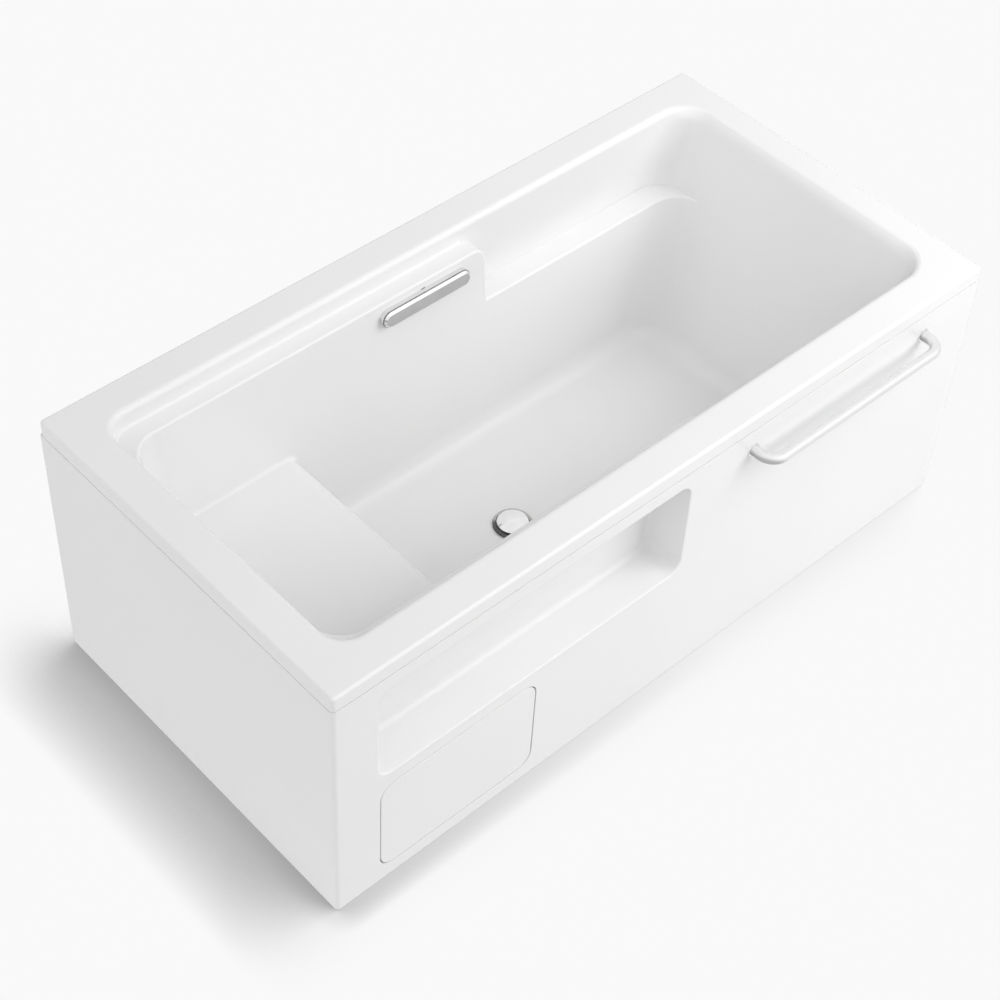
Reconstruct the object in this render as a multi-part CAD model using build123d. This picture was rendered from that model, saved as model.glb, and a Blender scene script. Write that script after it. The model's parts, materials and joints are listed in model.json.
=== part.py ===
from build123d import *
from math import cos, radians, sin, sqrt, tan
import os

os.makedirs("parts", exist_ok=True)

# Frame: X runs along the tub to the backrest end, Y to the long wall behind it, Z up.
# The pieces are modelled round the middle of the tub's plan, with the floor at height zero,
# and moved together at the end, so that the origin is under the middle of the whole object
# with its towel bar. All sizes are millimetres.

# Overall size
length = 1500.0
width = 750.0
height = 570.0

# Rim and its turned-down lip
shell_wall = 6.0
rim_width = 73.0
backrest_rim_width = 66.0
lip_height = 31.0
corner_radius = 8.0
rim_edge_radius = 6.0
basin_edge_radius = 12.0
roll_radius = 35.0
roll_end_lean = 62.0

# Basin: depths below the rim and reaches from the outer faces
soap_ledge_drop = 37.0
soap_ledge_width = 37.0
front_ledge_width = 25.0
end_ledge_width = 14.0
armrest_drop = 160.0
armrest_start = 880.0
armrest_lead_in = 28.0
seat_drop = 258.0
seat_reach = 415.0
basin_floor_height = 113.0
side_lean = 4.8
front_lean = 6.4
foot_end_lean = 2.9
backrest_lean = 15.8
riser_lean = 4.6
pocket_corner_radius = 45.0
pocket_backrest_radius = 58.0
basin_corner_radius = 60.0
floor_fillet = 38.0
ledge_root_radius = 6.0
ledge_nose_radius = 5.0
seat_nose_radius = 18.0
seat_root_radius = 9.0

# Skirt, moulded in one piece round the front and the foot end
skirt_wall = 5.0
skirt_floor_gap = 3.0
skirt_seam = 2.0
flange_width = 20.0
seal_width = 4.0
seal_setback = 1.5

# Storage niche in the skirt
niche_start = 89.0
niche_floor_height = 291.0
niche_rim_gap = 63.0
niche_bar_gap = 149.0
niche_depth = 77.0
niche_corner_radius = 28.0
niche_draft = 7.0
niche_root_radius = 12.0
niche_mouth_radius = 3.0

# Access panel and the frame that it snaps to
panel_start = 94.0
panel_length = 336.0
panel_foot_height = 36.0
panel_height = 222.0
panel_corner_radius = 30.0
panel_gap = 2.0
panel_rest_gap = 0.3
panel_edge_radius = 1.0
hatch_overlap = 16.0
hatch_frame_wall = 4.0
hatch_landing = 20.0
hatch_play = 1.0
panel_rib_wall = 3.0
panel_rib_depth = 10.0
magnet_diameter = 12.0
magnet_inset = 11.0
magnet_thickness = 3.5
striker_thickness = 1.0

# Towel bar
bar_diameter = 20.0
bar_wall = 2.0
bar_end_gap = 144.0
bar_span = 443.0
bar_drop = 80.0
bar_standoff = 44.0
bar_bend_radius = 28.0
rose_diameter = 26.0
rose_thickness = 2.0
bar_plug_length = 14.0
bar_bolt_diameter = 8.0
bar_washer_diameter = 30.0
bar_washer_thickness = 2.0
bolt_head_diameter = 14.0
bolt_head_height = 6.0
bar_bolt_reach = 10.0
hole_clearance = 1.0

# Waste, plug and trap
waste_reach = 730.0
waste_hole = 58.0
waste_flange_diameter = 76.0
waste_flange_height = 4.0
waste_flange_bevel = 2.0
waste_flange_rim = 1.0
seal_inset = 1.0
waste_dish_diameter = 63.0
waste_dish_floor = 2.0
waste_throat = 50.0
waste_throat_wall = 2.5
waste_throat_length = 32.0
top_seal_thickness = 1.5
body_seal_thickness = 3.0
plug_diameter = 60.0
plug_height = 9.0
plug_sag = 3.0
plug_edge_radius = 1.5
plug_lift = 0.3
plug_stem_diameter = 8.0
plug_stem_length = 44.0
hub_diameter = 18.0
hub_height = 8.0
spoke_width = 3.0
spoke_bars = 3
stem_fit = 0.06
waste_body_diameter = 64.0
waste_body_flange = 80.0
waste_body_wall = 3.0
waste_body_height = 78.0
drain_axis_drop = 62.0
stub_length = 12.0
stub_wall = 3.0
stub_socket = 8.0
pipe_fit = 0.05
nut_length = 16.0
nut_margin = 3.0
nut_ribs = 8
nut_rib_width = 3.0
nut_rib_height = 1.0
outlet_diameter = 40.0
outlet_wall = 2.0
outlet_mark_depth = 60.0
outlet_mark_width = 2.0
outlet_mark_cut = 0.5
trap_diameter = 92.0
trap_height = 56.0
trap_wall = 3.0
trap_reach = 150.0
trap_lid_height = 5.0
trap_lid_spigot = 6.0
trap_grip_width = 8.0
trap_grip_height = 5.0

# Overflow
overflow_drop = 70.0
overflow_hole = 36.0
overflow_seal_thickness = 3.0
cover_length = 204.0
cover_height = 34.0
cover_depth = 16.0
cover_wall = 2.5
cover_edge = 5.0
cover_slot_length = 150.0
cover_slot_height = 6.0
cover_boss_diameter = 12.0
elbow_flange_diameter = 48.0
elbow_flange_thickness = 4.0
elbow_diameter = 34.0
elbow_wall = 3.0
elbow_barrel_length = 60.0
elbow_stub_drop = 40.0
elbow_stub_setback = 38.0
overflow_pipe_diameter = 26.0
overflow_pipe_wall = 2.0
overflow_pipe_bend = 40.0
overflow_screw_diameter = 5.0
screw_head_diameter = 9.0
screw_head_height = 3.0
screw_bite = 8.0

# Boards glued to the shell
board_thickness = 15.0
board_margin = 40.0
board_corner_radius = 30.0
board_hole = 110.0
seat_board_margin = 50.0
batten_width = 36.0
batten_thickness = 18.0
batten_clearance = 4.0

# Steel frame, feet and brackets
tube_size = 25.0
tube_wall = 2.0
rail_inset = 105.0
rail_end_gap = 60.0
cross_inset = 25.0
post_inset = 56.0
foot_end_inset = 50.0
middle_foot_offset = 80.0
rod_diameter = 12.0
rod_reach = 26.0
rod_fit = 0.06
rod_point = 1.0
foot_pad_diameter = 46.0
foot_pad_height = 10.0
foot_pad_edge = 3.0
foot_boss_diameter = 26.0
foot_boss_height = 12.0
rod_socket = 14.0
nut_width = 19.0
nut_height = 8.0
brace_width = 30.0
brace_thickness = 3.0
brace_tab = 24.0
end_brace_grip = 30.0
brace_panel_gap = 60.0
brace_end_inset = 190.0
clip_width = 25.0
clip_thickness = 2.5
clip_tab = 16.0
clip_setback = 30.0
clip_end_inset = 150.0
screw_diameter = 4.0
screw_length = 14.0
pan_head_diameter = 8.0
pan_head_height = 2.5

# Levels and places that follow from the sizes above
half_length = length / 2
half_width = width / 2
soap_ledge_level = height - soap_ledge_drop
armrest_level = height - armrest_drop
seat_level = height - seat_drop
floor_level = basin_floor_height
shell_underside = floor_level - shell_wall
pocket_half = half_width - rim_width
pocket_left = rim_width - half_length
backrest_top = half_length - backrest_rim_width
seat_edge = seat_reach - half_length
armrest_left = armrest_start - half_length
lip_foot = height - lip_height
skirt_top = lip_foot - skirt_seam
waste_x = waste_reach - half_length
board_underside = shell_underside - board_thickness
rail_top = board_underside
rail_underside = rail_top - tube_size
rail_half_length = half_length - rail_end_gap
rail_offset = half_width - rail_inset
trap_x = waste_x - trap_reach
drain_axis = shell_underside - drain_axis_drop
overflow_level = height - overflow_drop
bar_level = height - bar_drop
bar_right = half_length - bar_end_gap
bar_left = bar_right - bar_span
niche_left = niche_start - half_length
niche_right = bar_left - niche_bar_gap
niche_top = height - niche_rim_gap
over_cut = 1.0
edge_slack = 1.0
level_slack = 0.5
least_radius = 1.0
centre_shift = (bar_standoff + bar_diameter / 2) / 2


def wall_y(level, side, grow=0.0):
    """Y of the back wall, or for side -1 of the front wall, at a level."""
    ledge = soap_ledge_width if side > 0 else front_ledge_width
    lean = side_lean if side > 0 else front_lean
    at_ledge = pocket_half - ledge
    return side * (at_ledge - (soap_ledge_level - level) * tan(radians(lean)) + grow)


def foot_end(level):
    """X of the wall at the foot end, below the soap ledge."""
    at_ledge = pocket_left + end_ledge_width
    return at_ledge + (soap_ledge_level - level) * tan(radians(foot_end_lean))


def backrest(level):
    """X of the leaning backrest at a level."""
    return backrest_top - (height - level) * tan(radians(backrest_lean))


def round_edges(solid, radius, wanted):
    """The solid with a fillet on each edge that the test picks."""
    picked = [edge for edge in solid.edges() if wanted(edge)]
    return solid.fillet(radius, picked)


def lies_at(edge, level):
    """True for an edge that runs at the level."""
    box = edge.bounding_box()
    return abs(box.min.Z - level) < level_slack and abs(box.max.Z - level) < level_slack


def bathing_well(grow, top):
    """The deep leaning well with its rounded floor, and the seat left standing in it."""
    low = floor_level - grow
    across = Polygon(
        (wall_y(low, -1, grow), low),
        (wall_y(low, 1, grow), low),
        (wall_y(top, 1, grow), top),
        (wall_y(top, -1, grow), top),
        align=None,
    )
    along = Polygon(
        (foot_end(low) - grow, low),
        (backrest(low) + grow, low),
        (backrest(top) + grow, top),
        (foot_end(top) - grow, top),
        align=None,
    )
    well = extrude(Plane.YZ * across, amount=length, both=True)
    well = (well & extrude(Plane.XZ * along, amount=width, both=True)).solid()
    well = round_edges(
        well,
        basin_corner_radius + grow,
        lambda edge: edge.bounding_box().max.Z - edge.bounding_box().min.Z > (height - floor_level) / 2,
    )
    well = round_edges(well, floor_fillet + grow, lambda edge: lies_at(edge, low))
    seat_top = seat_level - grow
    edge_x = seat_edge - grow
    foot_x = edge_x + (seat_top - low) * tan(radians(riser_lean))
    step = Polygon(
        (-half_length, low - over_cut),
        (foot_x, low - over_cut),
        (foot_x, low),
        (edge_x, seat_top),
        (-half_length, seat_top),
        align=None,
    )
    well = (well - extrude(Plane.XZ * step, amount=half_width, both=True)).solid()
    well = round_edges(
        well,
        seat_nose_radius - grow,
        lambda edge: lies_at(edge, seat_top)
        and edge.bounding_box().min.X > edge_x - edge_slack
        and edge.bounding_box().size.X < edge_slack,
    )
    return round_edges(
        well,
        seat_root_radius + grow,
        lambda edge: edge.bounding_box().max.Z < seat_top + edge_slack
        and (lies_at(edge, seat_top) or edge.bounding_box().size.Z > edge_slack)
        and edge.bounding_box().max.X < foot_x + floor_fillet / 4
        and (edge.bounding_box().min.X > edge_x - 1.4 * seat_nose_radius or lies_at(edge, seat_top))
        and not is_nose_line(edge, seat_top, edge_x),
    )


def is_nose_line(edge, level, edge_x):
    """True for the line where the seat's flat top meets its rounded nose."""
    box = edge.bounding_box()
    near_nose = box.min.X > edge_x - seat_nose_radius - edge_slack
    return lies_at(edge, level) and box.size.X < edge_slack and near_nose


def leaning_prism(grow, low, top):
    """The opening above a level, whose backrest side rolls out softly towards the deck."""
    right = backrest(low) + grow
    middle = Pos((right - half_length) / 2, 0, low)
    face = middle * Rectangle(right + half_length, 2 * (pocket_half + grow))
    corners = [v for v in face.vertices() if abs(v.X - right) < level_slack]
    face = fillet(corners, pocket_backrest_radius + grow)
    lean = radians(backrest_lean)
    flare = radians(roll_end_lean)
    radius = roll_radius - grow
    middle_level = height - roll_radius * sin(flare)
    start_level = middle_level + radius * sin(lean)
    start_x = backrest(start_level) + grow
    middle_x = start_x + radius * cos(lean)

    def on_roll(angle):
        return middle_x - radius * cos(angle), middle_level + radius * sin(angle)

    end_x, end_level = on_roll(flare)
    with BuildLine(Plane.XZ) as path:
        Line((right, low), (start_x, start_level))
        ThreePointArc((start_x, start_level), on_roll((lean + flare) / 2), (end_x, end_level))
        Line((end_x, end_level), (end_x + (top - end_level) * tan(flare), top))
    return sweep(face, path=path.line, normal=(0, 0, 1))


def soap_pocket(grow, top):
    """The opening above the soap ledge, with a rounded root."""
    low = soap_ledge_level - grow
    left = pocket_left - grow
    middle = Pos((left + half_length) / 2, 0, low)
    face = middle * Rectangle(half_length - left, 2 * (pocket_half + grow))
    face = fillet([v for v in face.vertices() if v.X < 0], pocket_corner_radius + grow)
    pocket = (leaning_prism(grow, low, top) & extrude(face, amount=top - low)).solid()
    return round_edges(pocket, ledge_root_radius + grow, lambda edge: lies_at(edge, low))


def armrest_pocket(grow, top):
    """The lower ledge towards the backrest, with its rounded lead-in from the soap ledge."""
    low = armrest_level - grow
    ledge = soap_ledge_level - grow
    start = armrest_left - grow
    nose = armrest_lead_in - grow
    shift = nose * (1 - sqrt(0.5))
    below = low - over_cut
    with BuildSketch(Plane.XZ) as side:
        with BuildLine():
            Line((start - nose, top), (start - nose, ledge))
            ThreePointArc((start - nose, ledge), (start - shift, ledge - shift), (start, ledge - nose))
            Line((start, ledge - nose), (start, below))
            Line((start, below), (half_length, below))
            Line((half_length, below), (half_length, top))
            Line((half_length, top), (start - nose, top))
        make_face()
    room = extrude(side.sketch, amount=half_width, both=True)
    pocket = (leaning_prism(grow, low, top) & room).solid()
    if grow > 0:
        pocket = round_edges(pocket, grow, lambda edge: lies_at(edge, low))
    return pocket


def basin_space(grow, top):
    """Everything inside the basin, or with a wall's growth the block that the shell fills."""
    space = bathing_well(grow, top) + soap_pocket(grow, top) + armrest_pocket(grow, top)
    return space.solid()


def is_ledge_nose(edge):
    """True for the front edges of both ledges and of the step between them."""
    box = edge.bounding_box()
    back = wall_y(soap_ledge_level, 1) + level_slack
    front = wall_y(soap_ledge_level, -1) - level_slack
    if box.max.Y > back or box.min.Y < front:
        return False
    if lies_at(edge, soap_ledge_level):
        return box.min.X > foot_end(soap_ledge_level) - edge_slack
    if lies_at(edge, armrest_level):
        return box.size.X > edge_slack
    step_left = armrest_left - armrest_lead_in - edge_slack
    step_right = armrest_left + edge_slack
    return box.min.X > step_left and box.max.X < step_right and box.min.Z > armrest_level - edge_slack


def disc(diameter, thickness):
    """Disc that stands on the local origin."""
    return Cylinder(diameter / 2, thickness, align=(Align.CENTER, Align.CENTER, Align.MIN))


def ring(outer, inner, thickness):
    """Flat ring that stands on the local origin."""
    return disc(outer, thickness) - disc(inner, thickness)


def rounded_plan(left, right, front, back, radius):
    """Level rectangle with rounded corners at height zero."""
    size_x = right - left
    size_y = back - front
    return Pos((left + right) / 2, (front + back) / 2, 0) * RectangleRounded(size_x, size_y, radius)


def group(pieces):
    """Equal pieces kept as separate solids in one node."""
    return Compound(children=[solid for piece in pieces for solid in piece.solids()])


def tub_shell():
    """One-piece shell: rim with its lip, ledges, seat, backrest and floor."""
    rim = rounded_plan(-half_length, half_length, -half_width, half_width, corner_radius)
    rim = extrude(Pos(0, 0, lip_foot) * rim, amount=lip_height).solid()
    rim = round_edges(rim, rim_edge_radius, lambda edge: lies_at(edge, height))
    under = rounded_plan(
        shell_wall - half_length,
        half_length - shell_wall,
        shell_wall - half_width,
        half_width - shell_wall,
        corner_radius - shell_wall,
    )
    rim = rim - extrude(Pos(0, 0, lip_foot) * under, amount=lip_height - shell_wall)
    inner = basin_space(0.0, height + over_cut)
    inner = round_edges(inner, ledge_nose_radius, is_ledge_nose)
    shell = (rim + basin_space(shell_wall, height - over_cut) - inner).solid()
    shell = round_edges(
        shell,
        basin_edge_radius,
        lambda edge: lies_at(edge, height)
        and edge.bounding_box().min.Y > -pocket_half - edge_slack
        and edge.bounding_box().max.Y < pocket_half + edge_slack
        and edge.bounding_box().min.X > pocket_left - edge_slack
        and edge.bounding_box().max.X < backrest_top + roll_radius,
    )
    drain = Pos(waste_x, 0, shell_underside - over_cut) * disc(waste_hole, 2 * shell_wall)
    overflow = cover_plane() * Pos(0, 0, -2 * shell_wall) * disc(overflow_hole, 4 * shell_wall)
    return shell - drain - overflow


def skirt_band(inset, depth):
    """L-shaped band round the front and the foot end, with short returns at both ends."""
    outer_left = inset - half_length
    outer_front = inset - half_width
    inner_left = outer_left + depth
    inner_front = outer_front + depth
    points = (
        (half_length, outer_front),
        (outer_left, outer_front),
        (outer_left, half_width),
        (inner_left, half_width),
        (inner_left, inner_front),
        (half_length, inner_front),
    )
    face = Polygon(*points, align=None)
    outer = [v for v in face.vertices() if abs(v.X - outer_left) + abs(v.Y - outer_front) < edge_slack]
    face = fillet(outer, corner_radius - inset)
    inner = [v for v in face.vertices() if abs(v.X - inner_left) + abs(v.Y - inner_front) < edge_slack]
    return fillet(inner, max(corner_radius - inset - depth, least_radius))


def front_frame(left, right, low, high, radius):
    """Rounded rectangle on the skirt's outer face, looking at it from the front."""
    face_plane = Plane(origin=(0, -half_width, 0), x_dir=(1, 0, 0), z_dir=(0, -1, 0))
    middle = Pos((left + right) / 2, (low + high) / 2, 0)
    return face_plane * middle * RectangleRounded(right - left, high - low, radius)


def niche_block(grow, mouth, depth):
    """Tapered block of the storage niche, starting in front of or on the skirt's face."""
    left = niche_left - grow
    right = niche_right + grow
    low = niche_floor_height - grow
    high = niche_top + grow
    front = front_frame(left, right, low, high, niche_corner_radius + grow)
    back = front_frame(
        left + niche_draft,
        right - niche_draft,
        low + niche_draft / 2,
        high - niche_draft,
        niche_corner_radius + grow - niche_draft / 2,
    )
    block = loft([Pos(0, mouth, 0) * front, Pos(0, depth, 0) * back], ruled=True).solid()
    back_y = depth - half_width
    return block.fillet(
        niche_root_radius + grow,
        [edge for edge in block.edges() if edge.bounding_box().min.Y > back_y - edge_slack],
    )


def panel_frame(grow):
    """Outline of the access panel, grown by a margin, as left, right, low and high."""
    left = panel_start - half_length - grow
    low = panel_foot_height - grow
    return left, left + panel_length + 2 * grow, low, low + panel_height + 2 * grow


def skirt():
    """Moulded skirt with the storage niche, the hatch opening and stiffening flanges."""
    tall = skirt_top - skirt_floor_gap
    body = extrude(Pos(0, 0, skirt_floor_gap) * skirt_band(0, skirt_wall), amount=tall, dir=(0, 0, 1))
    flange = skirt_band(0, flange_width)
    for foot in (skirt_floor_gap, skirt_top - skirt_wall):
        body = body + extrude(Pos(0, 0, foot) * flange, amount=skirt_wall, dir=(0, 0, 1))
    right_return = Pos(half_length - skirt_wall / 2, flange_width / 2 - half_width, skirt_floor_gap)
    back_return = Pos(flange_width / 2 - half_length, half_width - skirt_wall / 2, skirt_floor_gap)
    body = body + right_return * Box(skirt_wall, flange_width, tall, align=low_corner())
    body = body + back_return * Box(flange_width, skirt_wall, tall, align=low_corner())
    body = body + niche_block(skirt_wall, 0.0, niche_depth + skirt_wall)
    body = (body - niche_block(0.0, 0.0, niche_depth)).solid()
    left, right, low, high = panel_frame(panel_gap)
    opening = front_frame(left, right, low, high, panel_corner_radius + panel_gap)
    cut = extrude(Pos(0, -over_cut, 0) * opening, amount=-(skirt_wall + 2 * over_cut))
    body = (body - cut).solid()
    body = round_edges(
        body,
        niche_mouth_radius,
        lambda edge: edge.bounding_box().max.Y < over_cut / 2 - half_width
        and edge.bounding_box().min.Z > niche_floor_height - edge_slack
        and edge.bounding_box().max.Z < niche_top + edge_slack
        and edge.bounding_box().min.X > niche_left - edge_slack
        and edge.bounding_box().max.X < niche_right + edge_slack,
    )
    hole = Rot(90, 0, 0) * disc(bar_bolt_diameter + 2 * hole_clearance, 4 * skirt_wall)
    for x in (bar_left, bar_right):
        body = body - Pos(x, 2 * skirt_wall - half_width, bar_level) * hole
    return body


def skirt_seal():
    """Soft strip in the seam between the lip and the skirt."""
    strip = Pos(0, 0, skirt_top) * skirt_band(seal_setback, seal_width)
    return extrude(strip, amount=skirt_seam, dir=(0, 0, 1))


def back_disc_place(x, y, z):
    """Place for a disc that grows towards the back from a point."""
    return Plane(origin=(x, y, z), x_dir=(1, 0, 0), z_dir=(0, 1, 0))


def magnet_places():
    """X and height of the four catches, near the corners of the hatch."""
    left, right, low, high = panel_frame(-magnet_inset)
    reach = panel_corner_radius
    return [
        (left + reach, low),
        (right - reach, low),
        (left + reach, high),
        (right - reach, high),
    ]


def hatch_frame():
    """Ring glued behind the skirt, which the access panel closes against."""
    outer = front_frame(*panel_frame(panel_gap + hatch_overlap), panel_corner_radius + hatch_overlap)
    inner = front_frame(*panel_frame(-hatch_landing), panel_corner_radius - hatch_landing)
    face = Pos(0, skirt_wall, 0) * (outer - inner)
    frame = extrude(face, amount=hatch_frame_wall, dir=(0, 1, 0))
    for x, z in magnet_places():
        frame = frame - back_disc_place(x, skirt_wall - half_width, z) * disc(
            magnet_diameter, magnet_thickness
        )
    return frame


def hatch_magnets():
    """Catches let into the hatch frame."""
    catch = disc(magnet_diameter, magnet_thickness)
    front = skirt_wall - half_width
    return group([back_disc_place(x, front, z) * catch for x, z in magnet_places()])


def access_panel():
    """Flush cover of the service opening with a locating rib behind it."""
    back = skirt_wall - panel_rest_gap
    plate = extrude(front_frame(*panel_frame(0.0), panel_corner_radius), amount=back, dir=(0, 1, 0))
    rib_edge = hatch_landing + hatch_play
    rib_radius = panel_corner_radius - hatch_landing
    rib = front_frame(*panel_frame(-rib_edge), rib_radius)
    rib = rib - front_frame(*panel_frame(-rib_edge - panel_rib_wall), rib_radius - panel_rib_wall)
    panel = plate + extrude(Pos(0, back, 0) * rib, amount=panel_rib_depth, dir=(0, 1, 0))
    panel = round_edges(
        panel.solid(),
        panel_edge_radius,
        lambda edge: edge.bounding_box().max.Y < over_cut / 2 - half_width,
    )
    for x, z in magnet_places():
        panel = panel - back_disc_place(x, back - striker_thickness - half_width, z) * disc(
            magnet_diameter, 2 * striker_thickness
        )
    return panel


def hatch_strikers():
    """Steel discs let into the back of the access panel."""
    front = skirt_wall - panel_rest_gap - striker_thickness - half_width
    striker = disc(magnet_diameter, striker_thickness)
    return group([back_disc_place(x, front, z) * striker for x, z in magnet_places()])


def towel_bar():
    """Bent tube whose two ends stand on the skirt."""
    out = -half_width - bar_standoff
    with BuildLine(Plane.XY.offset(bar_level)) as path:
        FilletPolyline(
            (bar_left, -half_width),
            (bar_left, out),
            (bar_right, out),
            (bar_right, -half_width),
            radius=bar_bend_radius,
        )
    start = Plane(origin=(bar_left, -half_width, bar_level), x_dir=(1, 0, 0), z_dir=(0, -1, 0))
    outside = sweep(start * Circle(bar_diameter / 2), path=path.line)
    inside = sweep(start * Circle(bar_diameter / 2 - bar_wall), path=path.line)
    return outside - inside


def at_bar_feet(piece, inset):
    """A copy of a disc-like piece on each foot of the bar, growing out of the skirt."""
    places = [
        Plane(origin=(x, inset - half_width, bar_level), x_dir=(1, 0, 0), z_dir=(0, -1, 0))
        for x in (bar_left, bar_right)
    ]
    return group([place * piece for place in places])


def towel_bar_roses():
    """Thin collars round the feet of the bar."""
    collar = ring(rose_diameter, bar_diameter + 2 * pipe_fit, rose_thickness)
    return at_bar_feet(collar, 0.0)


def towel_bar_plugs():
    """Threaded plugs inside the ends of the tube."""
    plug = ring(bar_diameter - 2 * bar_wall - 2 * pipe_fit, bar_bolt_diameter, bar_plug_length)
    return at_bar_feet(plug, 0.0)


def towel_bar_washers():
    """Wide washers behind the skirt."""
    washer = ring(bar_washer_diameter, bar_bolt_diameter + hole_clearance, bar_washer_thickness)
    return at_bar_feet(washer, skirt_wall + bar_washer_thickness)


def towel_bar_bolts():
    """Bolts through the skirt into the plugs of the bar."""
    grip = skirt_wall + bar_washer_thickness
    head = extrude(RegularPolygon(bolt_head_diameter / 2, 6), amount=bolt_head_height)
    shank = Pos(0, 0, bolt_head_height) * disc(bar_bolt_diameter, grip + bar_bolt_reach)
    return at_bar_feet(head + shank, grip + bolt_head_height)


def drain_flange():
    """Flange with a dished seat, a throat and the spokes that guide the plug's stem."""
    seat = Pos(waste_x, 0, floor_level + top_seal_thickness)
    outer_radius = waste_flange_diameter / 2
    dish_radius = waste_dish_diameter / 2
    profile = Polygon(
        (waste_throat / 2, 0),
        (outer_radius, 0),
        (outer_radius, waste_dish_floor),
        (outer_radius - waste_flange_bevel, waste_flange_height),
        (dish_radius + waste_flange_rim, waste_flange_height),
        (dish_radius, waste_dish_floor),
        (waste_throat / 2, waste_dish_floor),
        align=None,
    )
    flange = revolve(Plane.XZ * profile, Axis.Z)
    throat = ring(waste_throat + 2 * waste_throat_wall, waste_throat, waste_throat_length)
    flange = flange + Pos(0, 0, -waste_throat_length) * throat
    hub_place = Pos(0, 0, -waste_throat_length)
    spoke = Box(waste_throat + waste_throat_wall, spoke_width, hub_height, align=low_corner())
    guide = disc(hub_diameter, hub_height)
    for number in range(spoke_bars):
        guide = guide + Rot(0, 0, 180 * number / spoke_bars) * spoke
    guide = guide - Pos(0, 0, -over_cut) * disc(
        plug_stem_diameter + 2 * stem_fit, hub_height + 2 * over_cut
    )
    return seat * (flange + hub_place * guide)


def low_corner():
    """Alignment that centres a box in plan and stands it on the origin."""
    return Align.CENTER, Align.CENTER, Align.MIN


def flange_seal():
    """Thin gasket between the flange and the tub's floor."""
    return Pos(waste_x, 0, floor_level) * ring(
        waste_flange_diameter - 2 * seal_inset, waste_hole, top_seal_thickness
    )


def body_seal():
    """Gasket between the tub's underside and the waste body."""
    return Pos(waste_x, 0, shell_underside - body_seal_thickness) * ring(
        waste_body_flange - 2 * seal_inset, waste_hole, body_seal_thickness
    )


def plug():
    """Domed plug on its stem, which rises to let the water out."""
    underside = floor_level + top_seal_thickness + waste_dish_floor + plug_lift
    radius = plug_diameter / 2
    dome_radius = (radius**2 + plug_sag**2) / (2 * plug_sag)
    cap = disc(plug_diameter, plug_height) & Pos(0, 0, plug_height - dome_radius) * Sphere(dome_radius)
    cap = round_edges(cap.solid(), plug_edge_radius, lambda edge: lies_at(edge, plug_height - plug_sag))
    stem = Pos(0, 0, -plug_stem_length) * disc(plug_stem_diameter, plug_stem_length)
    return Pos(waste_x, 0, underside) * (cap + stem)


def side_stub(radius, outer, direction):
    """Short socket on the side of a round body, and the hole through it."""
    reach = radius + stub_length
    place = Plane(origin=(0, 0, 0), x_dir=(0, 0, 1), z_dir=direction)
    barrel = place * disc(outer + 2 * stub_wall, reach)
    hole = place * (disc(outer - 2 * stub_wall, reach) + Pos(0, 0, reach - stub_socket) * disc(
        outer + 2 * pipe_fit, stub_socket + over_cut
    ))
    return barrel, hole


def waste_body():
    """Cup under the tub's floor with sockets for the overflow and the trap."""
    top = shell_underside - body_seal_thickness
    bottom = top - waste_body_height
    place = Pos(waste_x, 0, bottom)
    cup = disc(waste_body_diameter, waste_body_height)
    cup = cup + Pos(0, 0, waste_body_height - waste_body_wall) * disc(waste_body_flange, waste_body_wall)
    axis_place = Pos(0, 0, drain_axis - bottom)
    radius = waste_body_diameter / 2
    back_stub, back_hole = side_stub(radius, overflow_pipe_diameter, (0, 1, 0))
    left_stub, left_hole = side_stub(radius, outlet_diameter, (-1, 0, 0))
    cup = cup + axis_place * back_stub + axis_place * left_stub
    room = disc(waste_body_diameter - 2 * waste_body_wall, waste_body_height)
    cup = cup - Pos(0, 0, waste_body_wall) * room
    cup = cup - axis_place * back_hole - axis_place * left_hole
    return place * cup


def trap_body():
    """Drum of the trap with its inlet and outlet sockets."""
    bottom = drain_axis - trap_height / 2
    radius = trap_diameter / 2
    drum = disc(trap_diameter, trap_height)
    axis_place = Pos(0, 0, trap_height / 2)
    back_stub, back_hole = side_stub(radius, outlet_diameter, (0, 1, 0))
    right_stub, right_hole = side_stub(radius, outlet_diameter, (1, 0, 0))
    drum = drum + axis_place * back_stub + axis_place * right_stub
    room = disc(trap_diameter - 2 * trap_wall, trap_height)
    drum = drum - Pos(0, 0, trap_wall) * room
    drum = drum - axis_place * back_hole - axis_place * right_hole
    return Pos(trap_x, 0, bottom) * drum


def trap_lid():
    """Screw lid of the trap with a bar to grip."""
    top = drain_axis + trap_height / 2
    spigot = trap_diameter - 2 * trap_wall - 2 * pipe_fit
    lid = disc(trap_diameter, trap_lid_height)
    lid = lid + Pos(0, 0, -trap_lid_spigot) * ring(spigot, spigot - 2 * trap_wall, trap_lid_spigot)
    grip = Box(trap_diameter - 4 * trap_wall, trap_grip_width, trap_grip_height, align=low_corner())
    return Pos(trap_x, 0, top) * (lid + Pos(0, 0, trap_lid_height) * grip)


def pipe_nut(outer):
    """Ribbed nut round a pipe of that diameter."""
    across = outer + 2 * stub_wall + 2 * nut_margin
    nut = ring(across, outer + 2 * pipe_fit, nut_length)
    rib = Box(2 * nut_rib_height, nut_rib_width, nut_length, align=low_corner())
    for number in range(nut_ribs):
        nut = nut + Rot(0, 0, 360 * number / nut_ribs) * Pos(across / 2, 0, 0) * rib
    return nut


def along(direction, x, y, z):
    """Place at a point with its axis along a direction."""
    return Plane(origin=(x, y, z), x_dir=(0, 0, 1), z_dir=direction)


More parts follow.
